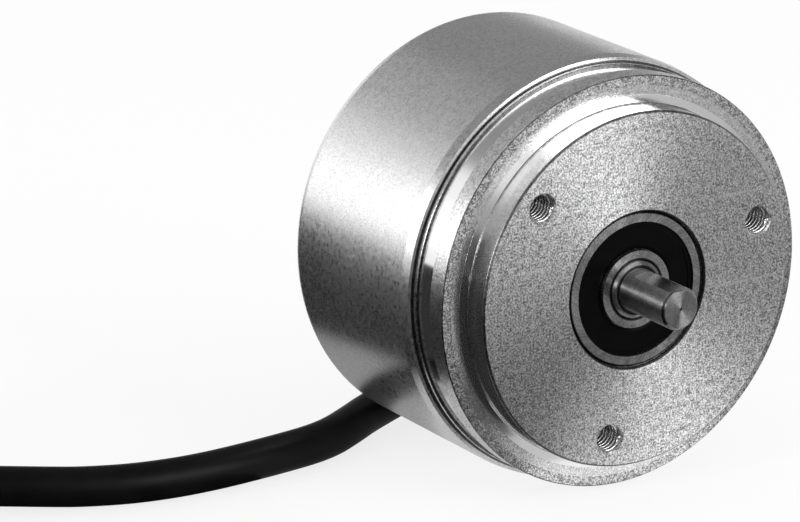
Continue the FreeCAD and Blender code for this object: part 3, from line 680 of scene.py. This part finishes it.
# area lamps, aimed at the part
lamps = {
    "keyLamp": {"place": (0.28, -0.72, 0.34), "aim": (0, 0, 0), "size": (0.55, 0.4), "power": 3.1},
    "sideLamp": {"place": (-0.75, 0.55, 0.22), "aim": (0, 0.02, 0), "size": (0.5, 0.32), "power": 0.9},
    "edgeLamp": {"place": (-0.9, -0.12, 0.26), "aim": (0, -0.01, 0), "size": (0.2, 0.2), "power": 2.4},
}


def makeLamps(lampSet):
    for name, lamp in lampSet.items():
        data = bpy.data.lights.new(name, "AREA")
        data.shape = "RECTANGLE"
        data.size, data.size_y = lamp["size"]
        data.energy = lamp["power"]
        light = addObject(name, data)
        light.location = lamp["place"]
        aim = Vector(lamp["aim"]) - Vector(lamp["place"])
        light.rotation_euler = aim.to_track_quat("-Z", "Y").to_euler()


# studio flags, seen only in reflections: each has its level of grey and its corners
flagHeight = {"table": -29.9 * mm, "band": -29.85 * mm}  # the band lies on top of the others


def lying(*spots, on="table"):
    return [(x, y, flagHeight[on]) for x, y in spots]


flags = {
    "ceilingFlag": (0.26, [(-0.85, -0.6, 0.6), (1.2, -0.6, 0.6), (1.2, 1.0, 0.6), (-0.85, 1.0, 0.6)]),
    "backFlag": (0.27, [(0.22, 1.3, 0.12), (1.5, 0.6, 0.12), (1.5, 0.6, 0.95), (0.22, 1.3, 0.95)]),
    "leftFlag": (0.03, lying((-0.049, 0.0), (-0.0255, 0.085), (-0.1, 0.6), (-0.6, 0.3), (-0.6, -0.15))),
    "nearFlag": (0.32, lying((-0.0407, 0.03), (0.1, 0.03), (0.1, 0.085), (-0.0255, 0.085))),
    "footFlag": (0.6, lying((-0.049, 0.0), (0.1, 0.0), (0.1, 0.03), (-0.0407, 0.03))),
    "frontFlag": (0.58, lying(
        (-0.006, -0.01), (0.02, -0.01), (0.06, -0.13), (-0.05, -0.13), (-0.034, -0.09), (-0.018, -0.05),
    )),
    "bandFlag": (0.1, lying((-0.0096, -0.022), (0.8, -0.022), (0.8, -0.055), (-0.02, -0.055), on="band")),
    "sideFlag": (0.36, lying((0.02, -0.01), (0.8, -0.01), (0.8, -0.13), (0.06, -0.13))),
    "farFlag": (0.55, lying((-0.05, -0.13), (0.8, -0.13), (0.8, -0.8), (-0.3, -0.8))),
    "shadeFlag": (0.02, lying(
        (-0.049, 0.0), (-0.012, -0.002), (-0.006, -0.01), (-0.018, -0.05), (-0.034, -0.09), (-0.05, -0.13),
        (-0.3, -0.8), (-0.6, -0.8), (-0.6, -0.15),
    )),
    "cameraFlag": (0.36, [
        (-1.6, -0.5, 0.22), (-0.42, -0.845, 0.22), (-0.5, -0.821, 0.9), (-1.6, -0.5, 0.9),
    ]),
    "lowFlag": (0.04, [
        (-1.6, -0.5, -0.03), (-0.38, -0.856, -0.03), (-0.42, -0.845, 0.22), (-1.6, -0.5, 0.22),
    ]),
    "rightFlag": (0.12, [(0.62, -0.9, -0.03), (1.6, -0.5, -0.03), (1.6, -0.5, 0.9), (0.62, -0.9, 0.9)]),
}


def makeFlags(flagSet):
    for name, (level, corners) in flagSet.items():
        bm = bmesh.new()
        bm.faces.new([bm.verts.new(corner) for corner in corners])
        mesh = meshFrom(bm, name)
        material, tree = newMaterial(name)[:2]
        glow = addNode(tree, "Emission", {"Color": grey(level)})
        tree.links.new(glow.outputs[0], tree.nodes["Material Output"].inputs["Surface"])
        mesh.materials.append(material)
        flag = addObject(name, mesh)
        for ray in ("camera", "diffuse", "shadow", "transmission"):
            setattr(flag, "visible_" + ray, False)


makeFloor(stageSet)
makeWorld(stageSet)
makeLamps(lamps)
makeFlags(flags)
bpy.context.scene.view_settings.view_transform = "Standard"
print("stage set")
